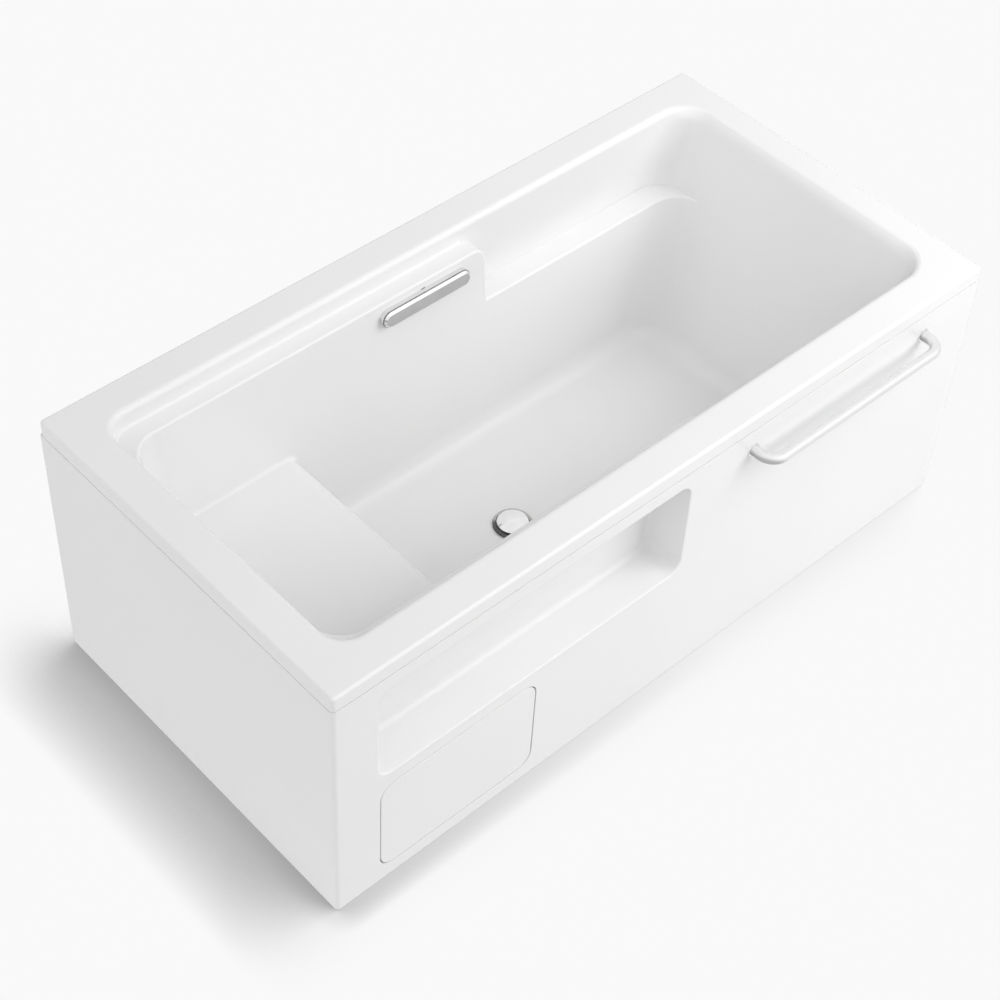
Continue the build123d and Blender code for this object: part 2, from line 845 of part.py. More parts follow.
def trap_nuts():
    """Nuts on the pipe joints of the trap."""
    nut = pipe_nut(outlet_diameter)
    body_end = waste_x - waste_body_diameter / 2 - stub_length
    drum_right = trap_x + trap_diameter / 2 + stub_length
    drum_back = trap_diameter / 2 + stub_length
    return group([
        along((-1, 0, 0), body_end, 0, drain_axis) * nut,
        along((1, 0, 0), drum_right, 0, drain_axis) * nut,
        along((0, 1, 0), trap_x, drum_back, drain_axis) * nut,
    ])


def trap_inlet():
    """Pipe from the waste body to the trap."""
    start = waste_x - waste_body_diameter / 2 - stub_length + stub_socket
    end = trap_x + trap_diameter / 2 + stub_length - stub_socket
    pipe = ring(outlet_diameter, outlet_diameter - 2 * outlet_wall, start - end)
    return along((-1, 0, 0), start, 0, drain_axis) * pipe


def outlet_pipe():
    """Pipe from the trap to the wall behind the tub, grooved to mark how far it goes in."""
    start = trap_diameter / 2 + stub_length - stub_socket
    reach = half_width - start
    pipe = ring(outlet_diameter, outlet_diameter - 2 * outlet_wall, reach)
    mark = ring(outlet_diameter + 2 * over_cut, outlet_diameter - 2 * outlet_mark_cut, outlet_mark_width)
    pipe = pipe - Pos(0, 0, reach - outlet_mark_depth - outlet_mark_width) * mark
    return along((0, 1, 0), trap_x, start, drain_axis) * pipe


def overflow_cover():
    """Hollow bevelled cover over the overflow with its fixing boss."""
    face = SlotOverall(cover_length, cover_height)
    body = extrude(face, amount=cover_depth).solid()
    body = body.chamfer(
        cover_edge, None, [edge for edge in body.edges() if edge.center().Z > cover_depth - level_slack]
    )
    room = SlotOverall(cover_length - 2 * cover_wall, cover_height - 2 * cover_wall)
    body = body - extrude(room, amount=cover_depth - cover_wall - cover_edge / 2)
    slot = Pos(0, cover_height / 2, 0) * Box(
        cover_slot_length, 3 * cover_wall, cover_slot_height, align=low_corner()
    )
    boss = disc(cover_boss_diameter, cover_depth - cover_wall)
    thread = Pos(0, 0, -over_cut) * disc(overflow_screw_diameter, screw_bite + over_cut)
    return cover_plane() * (body - Pos(0, 0, cover_wall) * slot + boss - thread)


def cover_plane():
    """Plane of the overflow on the inner face of the back wall, with its X along the tub."""
    lean = radians(side_lean)
    return Plane(
        origin=(waste_x, wall_y(overflow_level, 1), overflow_level),
        x_dir=(-1, 0, 0),
        z_dir=(0, -cos(lean), sin(lean)),
    )


def overflow_seal():
    """Gasket between the back of the tub's wall and the elbow."""
    behind = shell_wall + overflow_seal_thickness
    gasket = ring(elbow_flange_diameter, overflow_hole, overflow_seal_thickness)
    return cover_plane() * Pos(0, 0, -behind) * gasket


def overflow_elbow():
    """Elbow behind the overflow hole, with a socket that points down."""
    front = shell_wall + overflow_seal_thickness
    barrel = disc(elbow_diameter, elbow_barrel_length)
    barrel = barrel + Pos(0, 0, elbow_barrel_length - elbow_flange_thickness) * disc(
        elbow_flange_diameter, elbow_flange_thickness
    )
    place = cover_plane() * Pos(0, 0, -front - elbow_barrel_length)
    room = Pos(0, 0, elbow_wall) * disc(elbow_diameter - 2 * elbow_wall, elbow_barrel_length)
    middle = place * Pos(0, 0, elbow_barrel_length - elbow_stub_setback)
    stub_place = Pos(waste_x, middle.position.Y, middle.position.Z - elbow_stub_drop)
    stub = stub_place * disc(overflow_pipe_diameter + 2 * stub_wall, elbow_stub_drop)
    way = disc(overflow_pipe_diameter - 2 * stub_wall, elbow_stub_drop) + Pos(0, 0, -over_cut) * disc(
        overflow_pipe_diameter + 2 * pipe_fit, stub_socket + over_cut
    )
    screw_way = Pos(0, 0, -over_cut) * disc(overflow_screw_diameter + 2 * pipe_fit, 2 * elbow_wall)
    return place * barrel + stub - place * room - stub_place * way - place * screw_way


def overflow_stub_end():
    """Y and height of the mouth of the elbow's socket."""
    front = shell_wall + overflow_seal_thickness
    middle = cover_plane() * Pos(0, 0, -front - elbow_stub_setback)
    return middle.position.Y, middle.position.Z - elbow_stub_drop


def overflow_screw():
    """Long screw that draws the elbow and the cover together."""
    behind = shell_wall + overflow_seal_thickness + elbow_barrel_length
    head = disc(screw_head_diameter, screw_head_height)
    shank = Pos(0, 0, screw_head_height) * disc(overflow_screw_diameter, behind + screw_bite)
    return cover_plane() * Pos(0, 0, -behind - screw_head_height) * (head + shank)


def overflow_pipe():
    """Pipe from the elbow down and round to the waste body."""
    y, top = overflow_stub_end()
    end = waste_body_diameter / 2 + stub_length - stub_socket
    with BuildLine(Plane.YZ.offset(waste_x)) as path:
        FilletPolyline(
            (y, top + stub_socket),
            (y, drain_axis),
            (end, drain_axis),
            radius=overflow_pipe_bend,
        )
    start = Plane(origin=(waste_x, y, top + stub_socket), x_dir=(1, 0, 0), z_dir=(0, 0, -1))
    outer = sweep(start * Circle(overflow_pipe_diameter / 2), path=path.line)
    inner = sweep(start * Circle(overflow_pipe_diameter / 2 - overflow_pipe_wall), path=path.line)
    return outer - inner


def overflow_nuts():
    """Nuts at both ends of the overflow pipe."""
    nut = pipe_nut(overflow_pipe_diameter)
    y, top = overflow_stub_end()
    body_end = waste_body_diameter / 2 + stub_length
    return group([
        Pos(waste_x, y, top - nut_length) * nut,
        along((0, 1, 0), waste_x, body_end, drain_axis) * nut,
    ])


def riser_foot():
    """X of the foot of the seat's riser."""
    return seat_edge + (seat_level - floor_level) * tan(radians(riser_lean))


def base_board_ends():
    """X of both ends of the board under the floor."""
    return riser_foot() + board_margin, backrest(floor_level) - board_margin


def base_board():
    """Board glued under the floor, with a hole round the waste."""
    left, right = base_board_ends()
    back = wall_y(floor_level, 1) - board_margin
    front = wall_y(floor_level, -1) + board_margin
    face = rounded_plan(left, right, front, back, board_corner_radius)
    face = face - Pos(waste_x, 0, 0) * Circle(board_hole / 2)
    return extrude(Pos(0, 0, board_underside) * face, amount=board_thickness, dir=(0, 0, 1))


def seat_board_ends():
    """X of both ends of the board under the seat."""
    return foot_end(seat_level) + seat_board_margin, seat_edge - seat_board_margin


def seat_middle():
    """X of the middle of the board under the seat, where its posts stand."""
    left, right = seat_board_ends()
    return (left + right) / 2


def seat_board():
    """Board glued under the seat."""
    left, right = seat_board_ends()
    back = wall_y(seat_level, 1) - seat_board_margin
    front = wall_y(seat_level, -1) + seat_board_margin
    face = rounded_plan(left, right, front, back, board_corner_radius)
    level = seat_level - shell_wall - board_thickness
    return extrude(Pos(0, 0, level) * face, amount=board_thickness, dir=(0, 0, 1))


def cross_places():
    """X of the cross members: under the seat, near the board's ends and beyond the waste."""
    left, right = base_board_ends()
    first = left + cross_inset
    last = right - cross_inset
    return seat_middle(), first, (waste_x + last) / 2, last


def foot_places():
    """X of the three feet along a rail."""
    end = rail_half_length - foot_end_inset
    return -end, waste_x + middle_foot_offset, end


def batten_line(side):
    """Y of the middle of a long batten on one side of the tub."""
    return side * (half_width - shell_wall - batten_clearance - batten_width / 2)


def batten_screw_holes():
    """Pilot holes for the screws of the skirt clips."""
    pilot = Pos(0, 0, batten_level() - over_cut) * disc(screw_diameter, screw_length)
    return [Pos(x, y, 0) * pilot for x, y in clip_screw_places()]


def batten_level():
    """Height of the underside of the battens."""
    return height - shell_wall - batten_thickness


def long_battens():
    """Battens glued under the deck along the front and the back."""
    reach = 2 * (half_length - shell_wall - batten_clearance)
    batten = Box(reach, batten_width, batten_thickness, align=low_corner())
    pieces = []
    for side in (-1, 1):
        piece = Pos(0, batten_line(side), batten_level()) * batten
        pieces.append(drilled(piece))
    return group(pieces)


def drilled(piece):
    """The piece with the pilot holes of the clip screws."""
    for hole in batten_screw_holes():
        piece = piece - hole
    return piece


def end_battens():
    """Battens glued under the deck at both ends."""
    reach = 2 * (half_width - shell_wall - batten_clearance - batten_width) - 2 * batten_clearance
    batten = Box(batten_width, reach, batten_thickness, align=low_corner())
    x = half_length - shell_wall - batten_clearance - batten_width / 2
    return group([drilled(Pos(side * x, 0, batten_level()) * batten) for side in (-1, 1)])


def square_tube(reach):
    """Square steel tube along X, centred, standing on the origin."""
    outside = Box(reach, tube_size, tube_size, align=low_corner())
    inside = Pos(0, 0, tube_wall) * Box(
        reach + 2 * over_cut, tube_size - 2 * tube_wall, tube_size - 2 * tube_wall, align=low_corner()
    )
    return outside - inside


def side_rails():
    """Two tubes along the tub, drilled for the foot rods."""
    rails = []
    for side in (-1, 1):
        rail = Pos(0, side * rail_offset, rail_underside) * square_tube(2 * rail_half_length)
        for x in foot_places():
            hole = disc(rod_diameter + 2 * rod_fit, tube_size + 2 * over_cut)
            rail = rail - Pos(x, side * rail_offset, rail_underside - over_cut) * hole
        rails.append(rail)
    return group(rails)


def cross_members():
    """Tubes across the tub between the rails."""
    tube = Rot(0, 0, 90) * square_tube(2 * rail_offset - tube_size)
    return group([Pos(x, 0, rail_underside) * tube for x in cross_places()])


def rail_caps():
    """Plugs in the open ends of the rails."""
    inner = tube_size - 2 * tube_wall
    cap = Box(tube_wall, tube_size, tube_size, align=(Align.MIN, Align.CENTER, Align.MIN))
    tongue = Pos(-inner / 2, 0, tube_wall) * Box(
        inner / 2, inner - 2 * pipe_fit, inner - 2 * pipe_fit, align=(Align.MIN, Align.CENTER, Align.MIN)
    )
    tongue = Pos(0, 0, pipe_fit) * tongue
    piece = cap + tongue
    pieces = []
    for side in (-1, 1):
        right = Pos(rail_half_length, side * rail_offset, rail_underside)
        left = Pos(-rail_half_length, side * rail_offset, rail_underside) * Rot(0, 0, 180)
        pieces += [right * piece, left * piece]
    return group(pieces)


def seat_posts():
    """Posts from a cross member up to the seat board."""
    level = seat_level - shell_wall - board_thickness
    tall = level - rail_top
    outside = Box(tube_size, tube_size, tall, align=low_corner())
    inside = Box(tube_size - 2 * tube_wall, tube_size - 2 * tube_wall, tall, align=low_corner())
    return group([
        Pos(seat_middle(), wall_y(seat_level, side) - side * post_inset, rail_top) * (outside - inside)
        for side in (-1, 1)
    ])


def foot_positions():
    """X and Y of the six feet, front row first."""
    return [(x, side * rail_offset) for side in (-1, 1) for x in foot_places()]


def foot_rod(x, y):
    """Threaded rod of one foot, modelled at its thread's outer diameter."""
    bottom = foot_pad_height + foot_boss_height - rod_socket
    rod = disc(rod_diameter, rail_top + rod_reach - bottom).solid()
    rod = rod.chamfer(rod_point, None, rod.edges().filter_by(GeomType.CIRCLE))
    return Pos(x, y, bottom) * rod


def foot_pad(x, y):
    """Foot plate of one foot with the socket for its rod."""
    pad = disc(foot_pad_diameter, foot_pad_height).solid()
    pad = round_edges(pad, foot_pad_edge, lambda edge: lies_at(edge, foot_pad_height))
    pad = pad + Pos(0, 0, foot_pad_height) * disc(foot_boss_diameter, foot_boss_height)
    socket_floor = foot_pad_height + foot_boss_height - rod_socket
    pad = pad - Pos(0, 0, socket_floor) * disc(rod_diameter, rod_socket + over_cut)
    return Pos(x, y, 0) * pad


def foot_nuts():
    """Lock nuts above and below the rails on every foot rod."""
    nut = extrude(RegularPolygon(nut_width / 2, 6, major_radius=False), amount=nut_height)
    nut = nut - disc(rod_diameter + 2 * rod_fit, nut_height)
    pieces = []
    for x, y in foot_positions():
        pieces.append(Pos(x, y, rail_top) * nut)
        pieces.append(Pos(x, y, rail_underside - nut_height) * nut)
    return group(pieces)


def bent_strip(points, wide):
    """Flat strip bent along points in a vertical plane, of one width."""
    line = Polyline(*[(point[0], point[1]) for point in points])
    return extrude(Plane.XZ * make_face(line), amount=wide / 2, both=True)


def front_brace_profile():
    """Side view of a front brace, from the skirt's inner face back to the rail."""
    front = skirt_wall - half_width
    back = -rail_offset - tube_size / 2
    under = rail_underside
    return [
        (front, under),
        (back, under),
        (back, under + brace_tab),
        (back - brace_thickness, under + brace_tab),
        (back - brace_thickness, under + brace_thickness),
        (front + brace_thickness, under + brace_thickness),
        (front + brace_thickness, under + brace_tab),
        (front, under + brace_tab),
        (front, under),
    ]


def front_braces():
    """Bent strips that hold the skirt's foot to the front rail."""
    strip = Rot(0, 0, 90) * bent_strip(front_brace_profile(), brace_width)
    right = panel_frame(brace_panel_gap)[1]
    last = rail_half_length - brace_end_inset
    return group([Pos(x, 0, 0) * strip for x in (right, (right + last) / 2, last)])


def end_braces():
    """Bent strips from the rails' ends to the skirt at the foot end."""
    front = skirt_wall - half_length
    back = end_brace_grip - rail_half_length
    profile = [
        (front, rail_top),
        (back, rail_top),
        (back, rail_top + brace_thickness),
        (front + brace_thickness, rail_top + brace_thickness),
        (front + brace_thickness, rail_top + brace_tab),
        (front, rail_top + brace_tab),
        (front, rail_top),
    ]
    strip = bent_strip(profile, brace_width)
    return group([Pos(0, side * rail_offset, 0) * strip for side in (-1, 1)])


def clip_profile(outer):
    """Side view of a skirt clip, for a skirt whose outer face is at that place."""
    near = outer + clip_setback
    low = skirt_top - skirt_wall - clip_thickness
    top = batten_level()
    return [
        (near - clip_tab, low),
        (near + clip_thickness, low),
        (near + clip_thickness, top - clip_thickness),
        (near + clip_tab, top - clip_thickness),
        (near + clip_tab, top),
        (near, top),
        (near, low + clip_thickness),
        (near - clip_tab, low + clip_thickness),
        (near - clip_tab, low),
    ]


def clip_screw_places():
    """X and Y of the screws that hold the skirt clips to the battens."""
    inward = clip_setback + (clip_tab + clip_thickness) / 2
    reach = half_length - clip_end_inset
    front = [(x, inward - half_width) for x in (-reach, -reach / 3, reach / 3, reach)]
    side = half_width - clip_end_inset
    return front + [(inward - half_length, y) for y in (-side, side)]


def skirt_clips():
    """Strips that hold up the skirt's top flange from the battens."""
    front = Rot(0, 0, 90) * bent_strip(clip_profile(-half_width), clip_width)
    end = bent_strip(clip_profile(-half_length), clip_width)
    places = clip_screw_places()
    pieces = [Pos(x, 0, 0) * front for x, y in places if y < -half_width / 2]
    pieces += [Pos(0, y, 0) * end for x, y in places if y > -half_width / 2 and x < -half_length / 2]
    drill = Pos(0, 0, batten_level() - 2 * clip_thickness) * disc(
        screw_diameter + 2 * pipe_fit, 3 * clip_thickness
    )
    for x, y in clip_screw_places():
        pieces = [piece - Pos(x, y, 0) * drill for piece in pieces]
    return group(pieces)


def clip_screws():
    """Screws through the skirt clips into the battens."""
    head = disc(pan_head_diameter, pan_head_height)
    screw = head + Pos(0, 0, pan_head_height) * disc(screw_diameter, screw_length - clip_thickness)
    level = batten_level() - clip_thickness - pan_head_height
    return group([Pos(x, y, level) * screw for x, y in clip_screw_places()])


nodes = {
    "tub_shell": tub_shell(),
    "skirt": skirt(),
    "skirt_seal": skirt_seal(),
    "hatch_frame": hatch_frame(),
    "hatch_magnets": hatch_magnets(),
    "access_panel": access_panel(),
    "hatch_strikers": hatch_strikers(),
    "towel_bar": towel_bar(),
    "towel_bar_roses": towel_bar_roses(),
    "towel_bar_plugs": towel_bar_plugs(),
    "towel_bar_washers": towel_bar_washers(),
    "towel_bar_bolts": towel_bar_bolts(),
    "drain_flange": drain_flange(),
    "flange_seal": flange_seal(),
    "body_seal": body_seal(),
    "plug": plug(),
    "waste_body": waste_body(),
    "trap_body": trap_body(),
    "trap_lid": trap_lid(),
    "trap_nuts": trap_nuts(),
    "trap_inlet": trap_inlet(),
    "outlet_pipe": outlet_pipe(),
    "overflow_cover": overflow_cover(),
    "overflow_seal": overflow_seal(),
    "overflow_elbow": overflow_elbow(),
    "overflow_screw": overflow_screw(),
    "overflow_pipe": overflow_pipe(),
    "overflow_nuts": overflow_nuts(),
    "base_board": base_board(),
    "seat_board": seat_board(),
    "long_battens": long_battens(),
    "end_battens": end_battens(),
    "side_rails": side_rails(),
    "cross_members": cross_members(),
    "rail_caps": rail_caps(),
    "seat_posts": seat_posts(),
    "foot_nuts": foot_nuts(),
    "front_braces": front_braces(),
    "end_braces": end_braces(),
    "skirt_clips": skirt_clips(),
    "clip_screws": clip_screws(),
}
for number, (foot_x, foot_y) in enumerate(foot_positions(), start=1):
    nodes[f"foot_rod_{number}"] = foot_rod(foot_x, foot_y)
    nodes[f"foot_pad_{number}"] = foot_pad(foot_x, foot_y)

for name, shape in nodes.items():
    export_step(Pos(0, centre_shift, 0) * shape, f"parts/{name}.step")
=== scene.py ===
import json

import bpy
from mathutils import Matrix, Vector

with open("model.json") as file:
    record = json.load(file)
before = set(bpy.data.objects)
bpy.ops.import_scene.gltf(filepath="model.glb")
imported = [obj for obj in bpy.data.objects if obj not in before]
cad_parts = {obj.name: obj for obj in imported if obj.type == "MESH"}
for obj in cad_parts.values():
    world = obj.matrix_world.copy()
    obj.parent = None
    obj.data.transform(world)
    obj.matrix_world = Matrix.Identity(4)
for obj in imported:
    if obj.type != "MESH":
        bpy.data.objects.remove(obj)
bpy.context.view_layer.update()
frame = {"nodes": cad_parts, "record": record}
nodes = frame["nodes"]


# Small helpers for procedural materials

ramp_start = 0.3
ramp_end = 0.7
bump_samples = 6
facing_samples = 8
smooth_detail = 2.0


def new_material(name):
    """A node material with its Principled shader."""
    material = bpy.data.materials.new(name)
    material.use_nodes = True
    tree = material.node_tree
    return material, tree, tree.nodes["Principled BSDF"]


def grey(tone):
    """Neutral colour."""
    return (tone, tone, tone)


def place(tree, scale=(1.0, 1.0, 1.0)):
    """Object coordinates in metres, stretched along the axes."""
    coords = tree.nodes.new("ShaderNodeTexCoord")
    mapping = tree.nodes.new("ShaderNodeMapping")
    mapping.inputs["Scale"].default_value = scale
    tree.links.new(coords.outputs["Object"], mapping.inputs["Vector"])
    return mapping.outputs["Vector"]


def noise(tree, vector, scale, detail=3.0, roughness=0.5):
    """Noise texture output for a vector."""
    node = tree.nodes.new("ShaderNodeTexNoise")
    node.inputs["Scale"].default_value = scale
    node.inputs["Detail"].default_value = detail
    node.inputs["Roughness"].default_value = roughness
    tree.links.new(vector, node.inputs["Vector"])
    return node.outputs["Fac"]


def ramp(tree, value, low, high, start=ramp_start, end=ramp_end):
    """Colour that goes from low to high as the value goes from start to end."""
    node = tree.nodes.new("ShaderNodeValToRGB")
    node.color_ramp.elements[0].position = start
    node.color_ramp.elements[0].color = (*low, 1.0)
    node.color_ramp.elements[1].position = end
    node.color_ramp.elements[1].color = (*high, 1.0)
    tree.links.new(value, node.inputs["Fac"])
    return node.outputs["Color"]


def spread(tree, value, low, high, start=ramp_start, end=ramp_end):
    """Number that goes from low to high as a value goes from start to end."""
    node = tree.nodes.new("ShaderNodeMapRange")
    node.inputs["From Min"].default_value = start
    node.inputs["From Max"].default_value = end
    node.inputs["To Min"].default_value = low
    node.inputs["To Max"].default_value = high
    tree.links.new(value, node.inputs["Value"])
    return node.outputs["Result"]


def rounded_normal(tree, edge, samples):
    """Normal with edges rounded by a radius in metres."""
    node = tree.nodes.new("ShaderNodeBevel")
    node.samples = samples
    node.inputs["Radius"].default_value = edge
    return node.outputs["Normal"]


def bump(tree, value, strength, distance, edge=0.0):
    """Bump from a height, over edges rounded by a radius in metres."""
    node = tree.nodes.new("ShaderNodeBump")
    node.inputs["Strength"].default_value = strength
    node.inputs["Distance"].default_value = distance
    tree.links.new(value, node.inputs["Height"])
    if edge:
        tree.links.new(rounded_normal(tree, edge, bump_samples), node.inputs["Normal"])
    return node.outputs["Normal"]


def flakes(tree, vector, scale):
    """Grey of flat cells, each with a tone of its own."""
    cells = tree.nodes.new("ShaderNodeTexVoronoi")
    cells.inputs["Scale"].default_value = scale
    tree.links.new(vector, cells.inputs["Vector"])
    brightness = tree.nodes.new("ShaderNodeRGBToBW")
    tree.links.new(cells.outputs["Color"], brightness.inputs["Color"])
    return brightness.outputs["Val"]


def vector_maths(tree, operation, first, second=None):
    """Vector maths node on sockets or constant vectors."""
    node = tree.nodes.new("ShaderNodeVectorMath")
    node.operation = operation
    for socket, value in zip(node.inputs, (first, second)):
        if isinstance(value, bpy.types.NodeSocket):
            tree.links.new(value, socket)
        elif value is not None:
            socket.default_value = value
    return node


def facing(tree, direction, edge):
    """Cosine between the surface, with edges rounded by a radius, and a direction."""
    normal = rounded_normal(tree, edge, facing_samples)
    return vector_maths(tree, "DOT_PRODUCT", normal, direction).outputs["Value"]


def lying(tree, centre, direction):
    """Cosine between a direction and the way from a centre to the surface's point."""
    point = tree.nodes.new("ShaderNodeNewGeometry").outputs["Position"]
    way = vector_maths(tree, "SUBTRACT", point, centre).outputs["Vector"]
    unit = vector_maths(tree, "NORMALIZE", way).outputs["Vector"]
    return vector_maths(tree, "DOT_PRODUCT", unit, direction).outputs["Value"]


def paint_dark_reflection(material, value, stops):
    """Paint a dark reflection into the base colour: multiply it by a grey that follows pairs of
    value and tone.
    """
    tree = material.node_tree
    shader = tree.nodes["Principled BSDF"]
    node = tree.nodes.new("ShaderNodeValToRGB")
    elements = node.color_ramp.elements
    for index, (position, tone) in enumerate(stops):
        element = elements[index] if index < 2 else elements.new(position)
        element.position = position
        element.color = (*grey(tone), 1.0)
    tree.links.new(value, node.inputs["Fac"])
    colour = shader.inputs["Base Color"].links[0].from_socket
    mixed = vector_maths(tree, "MULTIPLY", colour, node.outputs["Color"])
    tree.links.new(mixed.outputs["Vector"], shader.inputs["Base Color"])
    return material


def choose(tree, switch, off, on):
    """Shader that is off or on as the switch is 0 or 1."""
    node = tree.nodes.new("ShaderNodeMixShader")
    tree.links.new(switch, node.inputs["Fac"])
    tree.links.new(off, node.inputs[1])
    tree.links.new(on, node.inputs[2])
    return node.outputs["Shader"]


def plain_finish(name, low, high, rough, scale, height, edge, metallic=0.0):
    """Finish whose colour, gloss and surface vary finely; rough is a pair."""
    cloud_scale = scale / 25
    grain_strength = 0.25
    material, tree, shader = new_material(name)
    where = place(tree)
    grain = noise(tree, where, scale)
    cloud = noise(tree, where, cloud_scale, smooth_detail)
    tree.links.new(ramp(tree, cloud, low, high), shader.inputs["Base Color"])
    tree.links.new(spread(tree, grain, *rough), shader.inputs["Roughness"])
    tree.links.new(bump(tree, grain, grain_strength, height, edge), shader.inputs["Normal"])
    shader.inputs["Metallic"].default_value = metallic
    return material


def acrylic(name, edge):
    """Glossy white sanitary acrylic with a faint orange peel."""
    cloud_scale = 3.0
    peel_scale = 90.0
    peel_strength = 0.05
    peel_height = 0.0006
    dull_white = (0.858, 0.858, 0.857)
    clear_white = (0.874, 0.874, 0.873)
    rough = (0.20, 0.24)
    material, tree, shader = new_material(name)
    where = place(tree)
    cloud = noise(tree, where, cloud_scale, smooth_detail)
    peel = noise(tree, where, peel_scale, smooth_detail)
    tree.links.new(ramp(tree, cloud, dull_white, clear_white), shader.inputs["Base Color"])
    tree.links.new(spread(tree, cloud, *rough), shader.inputs["Roughness"])
    tree.links.new(bump(tree, peel, peel_strength, peel_height, edge), shader.inputs["Normal"])
    shader.inputs["IOR"].default_value = 1.49
    shader.inputs["Coat Weight"].default_value = 0.25
    shader.inputs["Coat Roughness"].default_value = 0.06
    return material


def chrome(name, edge, low, high, rough):
    """Chrome plate with faint polishing waves; rough is a pair."""
    wave_scale = 40.0
    wave_strength = 0.03
    wave_height = 0.0003
    material, tree, shader = new_material(name)
    waves = noise(tree, place(tree), wave_scale, smooth_detail)
    tree.links.new(ramp(tree, waves, low, high), shader.inputs["Base Color"])
    tree.links.new(spread(tree, waves, *rough), shader.inputs["Roughness"])
    tree.links.new(bump(tree, waves, wave_strength, wave_height, edge), shader.inputs["Normal"])
    shader.inputs["Metallic"].default_value = 1.0
    return material


def galvanised(name):
    """Zinc-coated steel with its spangle."""
    spangle_scale = 160.0
    dark_zinc = (0.42, 0.44, 0.46)
    bright_zinc = (0.58, 0.60, 0.62)
    rough = (0.32, 0.48)
    grain_scale = 500.0
    grain_strength = 0.15
    grain_height = 0.0002
    edge = 0.0008
    material, tree, shader = new_material(name)
    where = place(tree)
    spangle = flakes(tree, where, spangle_scale)
    tree.links.new(ramp(tree, spangle, dark_zinc, bright_zinc), shader.inputs["Base Color"])
    tree.links.new(spread(tree, spangle, *rough), shader.inputs["Roughness"])
    grain = noise(tree, where, grain_scale)
    tree.links.new(bump(tree, grain, grain_strength, grain_height, edge), shader.inputs["Normal"])
    shader.inputs["Metallic"].default_value = 0.85
    return material


def chipboard(name):
    """Raw particle board with its flakes."""
    flatness = (1.0, 1.0, 4.0)
    flake_scale = 210.0
    dark_wood = (0.40, 0.27, 0.15)
    pale_wood = (0.66, 0.50, 0.32)
    contrast = (0.1, 0.9)
    grain_scale = 420.0
    grain_detail = 5.0
    grain_strength = 0.5
    grain_height = 0.0006
    edge = 0.001
    material, tree, shader = new_material(name)
    where = place(tree, flatness)
    flake = flakes(tree, where, flake_scale)
    tree.links.new(ramp(tree, flake, dark_wood, pale_wood, *contrast), shader.inputs["Base Color"])
    shader.inputs["Roughness"].default_value = 0.75
    grain = noise(tree, where, grain_scale, grain_detail)
    tree.links.new(bump(tree, grain, grain_strength, grain_height, edge), shader.inputs["Normal"])
    return material


acrylic_edge = 0.0018
chrome_edge = 0.0006
polish = (0.05, 0.09)
satin = (0.30, 0.36)
finishes = {
    "bath_acrylic": acrylic("bath_acrylic_gloss", acrylic_edge),
    "seal_rubber": plain_finish(
        "seal_rubber_matt", grey(0.66), grey(0.72),
        rough=(0.55, 0.7), scale=900.0, height=0.0002, edge=0.0004,
    ),
    # Near-black frame plastic: partly its own colour, partly painted shade, made this dark so that
    # the hatch's gap looks shaded.
    "moulded_frame": plain_finish(
        "frame_plastic_matt_painted_gap_shade", grey(0.09), grey(0.12),
        rough=(0.4, 0.5), scale=700.0, height=0.0002, edge=0.0006,
    ),
    "magnet": plain_finish(
        "magnet_black", (0.05, 0.05, 0.055), (0.08, 0.08, 0.085),
        rough=(0.35, 0.5), scale=900.0, height=0.0001, edge=0.0004,
    ),
    "zinc_steel": plain_finish(
        "zinc_plate", (0.50, 0.52, 0.55), (0.62, 0.64, 0.66),
        rough=(0.22, 0.34), scale=600.0, height=0.0001, edge=0.0004, metallic=1.0,
    ),
    "chrome": chrome("polished_chrome", chrome_edge, grey(0.80), grey(0.86), polish),
    "pipe_plastic": plain_finish(
        "pipe_plastic_white", (0.72, 0.73, 0.73), (0.78, 0.79, 0.79),
        rough=(0.35, 0.45), scale=500.0, height=0.0003, edge=0.0008,
    ),
    "plug_plastic": plain_finish(
        "black_plastic", (0.03, 0.03, 0.032), (0.05, 0.05, 0.052),
        rough=(0.45, 0.55), scale=700.0, height=0.0003, edge=0.0008,
    ),
    "board": chipboard("particle_board"),
    "frame_steel": galvanised("galvanised_steel"),
}


def middle(node):
    """Middle of a node's box."""
    corners = [node.matrix_world @ Vector(corner) for corner in node.bound_box]
    return sum(corners, Vector()) / len(corners)


def front_normal(node):
    """Normal of a node's largest face towards the tub's front."""
    least_turn = 0.5
    faces = [face for face in node.data.polygons if -face.normal.y > least_turn]
    return max(faces, key=lambda face: face.area).normal.copy()


def polished(name):
    """Chrome of its own for a piece whose dark reflection is painted into its colour."""
    return chrome(name, chrome_edge, grey(0.82), grey(0.88), polish)


def cover_chrome_painted_reflection():
    """Chrome with a dark line painted into its colour as a reflection, where the front's bevel meets
    the sides.
    """
    line_radius = 0.0035
    tones = ((0.03, 0.92), (0.06, 0.05), (0.56, 0.05), (0.66, 1.0))
    material = polished("cover_chrome_painted_reflection")
    # The dark line is a painted reflection that follows which way the surface faces.
    value = facing(material.node_tree, front_normal(nodes["overflow_cover"]), line_radius)
    return paint_dark_reflection(material, value, tones)


def flange_chrome_painted_reflection():
    """Chrome with a dark reflection painted on the side of the seat and a grey one painted on the
    other.
    """
    painted_dark_side = (-0.94, -0.34, 0.0)
    tones = ((0.20, 0.55), (0.42, 0.13), (1.0, 0.11))
    material = polished("flange_chrome_painted_reflection")
    # The dark side is a painted reflection that follows where the point lies round the flange's
    # middle.
    value = lying(material.node_tree, middle(nodes["drain_flange"]), painted_dark_side)
    return paint_dark_reflection(material, value, tones)


